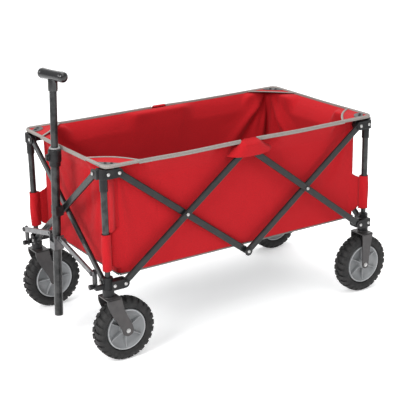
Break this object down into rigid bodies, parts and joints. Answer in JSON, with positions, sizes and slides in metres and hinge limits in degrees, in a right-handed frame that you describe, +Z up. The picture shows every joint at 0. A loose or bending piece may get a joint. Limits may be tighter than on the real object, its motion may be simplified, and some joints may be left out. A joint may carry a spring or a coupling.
{
  "type": "folding camp wagon",
  "caption": "Folding camp wagon with a cloth tub on a scissor frame, swivelling front casters, fixed rear wheels and a telescoping pull handle.",
  "frame": {"origin": "on the ground under the middle of the frame, midway between the four corner posts", "axes": "+X towards the rear of the wagon, -X towards the pull handle, +Y to the wagon's right, +Z up"},
  "size_m": [1.0222, 0.518, 0.7716],
  "materials": {
    "charcoal_steel": "satin charcoal powder coat",
    "bright_steel": "dull zinc plate",
    "black_plastic": "moulded nylon",
    "grey_plastic": "moulded polypropylene",
    "tread": "foamed rubber, matt",
    "red_cloth": "plain woven polyester",
    "dark_cloth": "plain woven polyester over a stiff liner"
  },
  "bodies": {
    "corner_fl": {"lower_bracket_fl": "black_plastic", "inner_post_fl": "charcoal_steel"},
    "corner_fr": {"lower_bracket_fr": "black_plastic", "inner_post_fr": "charcoal_steel"},
    "corner_rl": {"lower_bracket_rl": "black_plastic", "inner_post_rl": "charcoal_steel", "rear_fork_left": "charcoal_steel"},
    "corner_rr": {"lower_bracket_rr": "black_plastic", "inner_post_rr": "charcoal_steel", "rear_fork_right": "charcoal_steel"},
    "top_fl": {"upper_bracket_fl": "black_plastic", "outer_post_fl": "charcoal_steel", "post_sleeve_fl": "red_cloth", "tub_left": "red_cloth", "tub_front": "red_cloth"},
    "top_fr": {"upper_bracket_fr": "black_plastic", "outer_post_fr": "charcoal_steel", "post_sleeve_fr": "red_cloth", "tub_right": "red_cloth"},
    "top_rl": {"upper_bracket_rl": "black_plastic", "outer_post_rl": "charcoal_steel", "post_sleeve_rl": "red_cloth", "tub_rear": "red_cloth"},
    "top_rr": {"upper_bracket_rr": "black_plastic", "outer_post_rr": "charcoal_steel", "post_sleeve_rr": "red_cloth"},
    "floor_left": {"tub_floor_left": "dark_cloth"},
    "floor_right": {"tub_floor_right": "dark_cloth"},
    "caster_left": {"caster_fork_left": "charcoal_steel"},
    "caster_right": {"caster_fork_right": "charcoal_steel"},
    "clip": {"handle_clip": "black_plastic"},
    "yoke": {"yoke_hub": "bright_steel"},
    "link_left": {"yoke_link_left": "bright_steel"},
    "link_right": {"yoke_link_right": "bright_steel"},
    "handle": {"handle_outer_tube": "charcoal_steel", "handle_collar": "black_plastic"},
    "handle_pull": {"handle_inner_tube": "charcoal_steel", "handle_grip": "black_plastic"},
    "arm_left_a": {"side_arm_left_a": "charcoal_steel"},
    "arm_left_b": {"side_arm_left_b": "charcoal_steel"},
    "arm_left_c": {"side_arm_left_c": "charcoal_steel"},
    "arm_left_d": {"side_arm_left_d": "charcoal_steel"},
    "arm_right_a": {"side_arm_right_a": "charcoal_steel"},
    "arm_right_b": {"side_arm_right_b": "charcoal_steel"},
    "arm_right_c": {"side_arm_right_c": "charcoal_steel"},
    "arm_right_d": {"side_arm_right_d": "charcoal_steel"},
    "arm_front_inner": {"end_arm_front_inner": "charcoal_steel"},
    "arm_front_outer": {"end_arm_front_outer": "charcoal_steel"},
    "arm_rear_inner": {"end_arm_rear_inner": "charcoal_steel"},
    "arm_rear_outer": {"end_arm_rear_outer": "charcoal_steel"},
    "wheel_fl": {"tyre_fl": "tread", "wheel_hub_fl": "grey_plastic"},
    "wheel_fr": {"tyre_fr": "tread", "wheel_hub_fr": "grey_plastic"},
    "wheel_rl": {"tyre_rl": "tread", "wheel_hub_rl": "grey_plastic"},
    "wheel_rr": {"tyre_rr": "tread", "wheel_hub_rr": "grey_plastic"}
  },
  "joints": [
    {"name": "fold", "type": "hinge", "parent": "corner_fl", "child": "arm_left_b", "pos_m": [-0.404, -0.239, 0.226], "axis": [0, -1, 0], "range_deg": [0, 40], "deforming": ["tub_left", "tub_right", "tub_front", "tub_rear", "tub_floor_left", "tub_floor_right"]},
    {"name": "arm_left_front_cross", "type": "hinge", "parent": "arm_left_b", "child": "arm_left_a", "pos_m": [-0.202, -0.239, 0.379], "axis": [0, -1, 0], "range_deg": [-80, 0]},
    {"name": "arm_left_bottom_centre", "type": "hinge", "parent": "arm_left_a", "child": "arm_left_d", "pos_m": [0, -0.239, 0.226], "axis": [0, -1, 0], "range_deg": [0, 80]},
    {"name": "arm_left_rear_cross", "type": "hinge", "parent": "arm_left_d", "child": "arm_left_c", "pos_m": [0.202, -0.249, 0.379], "axis": [0, -1, 0], "range_deg": [-80, 0]},
    {"name": "top_fl_pivot", "type": "hinge", "parent": "arm_left_a", "child": "top_fl", "pos_m": [-0.404, -0.229, 0.532], "axis": [0, -1, 0], "range_deg": [0, 40]},
    {"name": "top_rl_pivot", "type": "hinge", "parent": "arm_left_d", "child": "top_rl", "pos_m": [0.404, -0.239, 0.532], "axis": [0, -1, 0], "range_deg": [-40, 0]},
    {"name": "corner_rl_pivot", "type": "hinge", "parent": "arm_left_c", "child": "corner_rl", "pos_m": [0.404, -0.249, 0.226], "axis": [0, -1, 0], "range_deg": [0, 40]},
    {"name": "front_inner_foot", "type": "hinge", "parent": "corner_fl", "child": "arm_front_inner", "pos_m": [-0.4455, -0.202, 0.226], "axis": [1, 0, 0], "range_deg": [0, 40]},
    {"name": "front_cross", "type": "hinge", "parent": "arm_front_inner", "child": "arm_front_outer", "pos_m": [-0.4555, 0, 0.379], "axis": [1, 0, 0], "range_deg": [-80, 0]},
    {"name": "corner_fr_pivot", "type": "hinge", "parent": "arm_front_outer", "child": "corner_fr", "pos_m": [-0.4555, 0.202, 0.226], "axis": [1, 0, 0], "range_deg": [0, 40]},
    {"name": "top_fr_pivot", "type": "hinge", "parent": "arm_front_inner", "child": "top_fr", "pos_m": [-0.4455, 0.202, 0.532], "axis": [1, 0, 0], "range_deg": [-40, 0]},
    {"name": "arm_right_b_foot", "type": "hinge", "parent": "corner_fr", "child": "arm_right_b", "pos_m": [-0.404, 0.239, 0.226], "axis": [0, -1, 0], "range_deg": [0, 40]},
    {"name": "arm_right_front_cross", "type": "hinge", "parent": "arm_right_b", "child": "arm_right_a", "pos_m": [-0.202, 0.239, 0.379], "axis": [0, -1, 0], "range_deg": [-80, 0]},
    {"name": "arm_right_bottom_centre", "type": "hinge", "parent": "arm_right_a", "child": "arm_right_d", "pos_m": [0, 0.239, 0.226], "axis": [0, -1, 0], "range_deg": [0, 80]},
    {"name": "arm_right_rear_cross", "type": "hinge", "parent": "arm_right_d", "child": "arm_right_c", "pos_m": [0.202, 0.249, 0.379], "axis": [0, -1, 0], "range_deg": [-80, 0]},
    {"name": "corner_rr_pivot", "type": "hinge", "parent": "arm_right_c", "child": "corner_rr", "pos_m": [0.404, 0.249, 0.226], "axis": [0, -1, 0], "range_deg": [0, 40]},
    {"name": "top_rr_pivot", "type": "hinge", "parent": "arm_right_d", "child": "top_rr", "pos_m": [0.404, 0.239, 0.532], "axis": [0, -1, 0], "range_deg": [-40, 0]},
    {"name": "rear_inner_foot", "type": "hinge", "parent": "corner_rl", "child": "arm_rear_inner", "pos_m": [0.4455, -0.202, 0.226], "axis": [1, 0, 0], "range_deg": [0, 40]},
    {"name": "rear_cross", "type": "hinge", "parent": "arm_rear_inner", "child": "arm_rear_outer", "pos_m": [0.4555, 0, 0.379], "axis": [1, 0, 0], "range_deg": [-80, 0]},
    {"name": "floor_left_hem", "type": "hinge", "parent": "top_fl", "child": "floor_left", "pos_m": [0, -0.21825, 0.243], "axis": [1, 0, 0], "range_deg": [0, 76]},
    {"name": "floor_right_hem", "type": "hinge", "parent": "top_fr", "child": "floor_right", "pos_m": [0, 0.21825, 0.243], "axis": [-1, 0, 0], "range_deg": [0, 76]},
    {"name": "clip_pivot", "type": "hinge", "parent": "arm_front_outer", "child": "clip", "pos_m": [-0.4555, 0, 0.379], "axis": [1, 0, 0], "range_deg": [0, 40]},
    {"name": "yoke_rise", "type": "slide", "parent": "clip", "child": "yoke", "axis": [0.0349, 0, 0.9994], "range_m": [0, 0.05446]},
    {"name": "link_left_pivot", "type": "hinge", "parent": "corner_fl", "child": "link_left", "pos_m": [-0.4845, -0.212, 0.262], "axis": [1, 0, 0], "range_deg": [0, 69.6]},
    {"name": "link_right_pivot", "type": "hinge", "parent": "corner_fr", "child": "link_right", "pos_m": [-0.4845, 0.212, 0.262], "axis": [-1, 0, 0], "range_deg": [0, 69.6]},
    {"name": "handle_tilt", "type": "hinge", "parent": "yoke", "child": "handle", "pos_m": [-0.481, 0, 0.302], "axis": [0, 1, 0], "range_deg": [-35, 0]},
    {"name": "handle_slide", "type": "slide", "parent": "handle", "child": "handle_pull", "axis": [0.0349, 0, 0.9994], "range_m": [-0.15, 0]},
    {"name": "caster_left_swivel", "type": "hinge", "parent": "corner_fl", "child": "caster_left", "pos_m": [-0.444, -0.222, 0.19], "axis": [0, 0, 1], "continuous": true},
    {"name": "wheel_fl_spin", "type": "hinge", "parent": "caster_left", "child": "wheel_fl", "pos_m": [-0.403, -0.222, 0.089], "axis": [0, 1, 0], "continuous": true},
    {"name": "caster_right_swivel", "type": "hinge", "parent": "corner_fr", "child": "caster_right", "pos_m": [-0.444, 0.222, 0.19], "axis": [0, 0, 1], "continuous": true},
    {"name": "wheel_fr_spin", "type": "hinge", "parent": "caster_right", "child": "wheel_fr", "pos_m": [-0.403, 0.222, 0.089], "axis": [0, 1, 0], "continuous": true},
    {"name": "wheel_rl_spin", "type": "hinge", "parent": "corner_rl", "child": "wheel_rl", "pos_m": [0.432, -0.226, 0.089], "axis": [0, 1, 0], "continuous": true},
    {"name": "wheel_rr_spin", "type": "hinge", "parent": "corner_rr", "child": "wheel_rr", "pos_m": [0.432, 0.226, 0.089], "axis": [0, 1, 0], "continuous": true}
  ],
  "couplings": [
    {"joint": "arm_left_front_cross", "follows": "fold", "ratio": -2},
    {"joint": "arm_left_bottom_centre", "follows": "fold", "ratio": 2},
    {"joint": "arm_left_rear_cross", "follows": "fold", "ratio": -2},
    {"joint": "top_fl_pivot", "follows": "fold", "ratio": 1},
    {"joint": "top_rl_pivot", "follows": "fold", "ratio": -1},
    {"joint": "corner_rl_pivot", "follows": "fold", "ratio": 1},
    {"joint": "front_inner_foot", "follows": "fold", "ratio": 1},
    {"joint": "front_cross", "follows": "fold", "ratio": -2},
    {"joint": "corner_fr_pivot", "follows": "fold", "ratio": 1},
    {"joint": "top_fr_pivot", "follows": "fold", "ratio": -1},
    {"joint": "arm_right_b_foot", "follows": "fold", "ratio": 1},
    {"joint": "arm_right_front_cross", "follows": "fold", "ratio": -2},
    {"joint": "arm_right_bottom_centre", "follows": "fold", "ratio": 2},
    {"joint": "arm_right_rear_cross", "follows": "fold", "ratio": -2},
    {"joint": "corner_rr_pivot", "follows": "fold", "ratio": 1},
    {"joint": "top_rr_pivot", "follows": "fold", "ratio": -1},
    {"joint": "rear_inner_foot", "follows": "fold", "ratio": 1},
    {"joint": "rear_cross", "follows": "fold", "ratio": -2},
    {"joint": "floor_left_hem", "follows": "fold", "ratio": 1.9},
    {"joint": "floor_right_hem", "follows": "fold", "ratio": 1.9},
    {"joint": "clip_pivot", "follows": "fold", "ratio": 1},
    {"joint": "yoke_rise", "follows": "fold", "m_per_rad": 0.078},
    {"joint": "link_left_pivot", "follows": "fold", "ratio": 1.74},
    {"joint": "link_right_pivot", "follows": "fold", "ratio": 1.74}
  ]
}
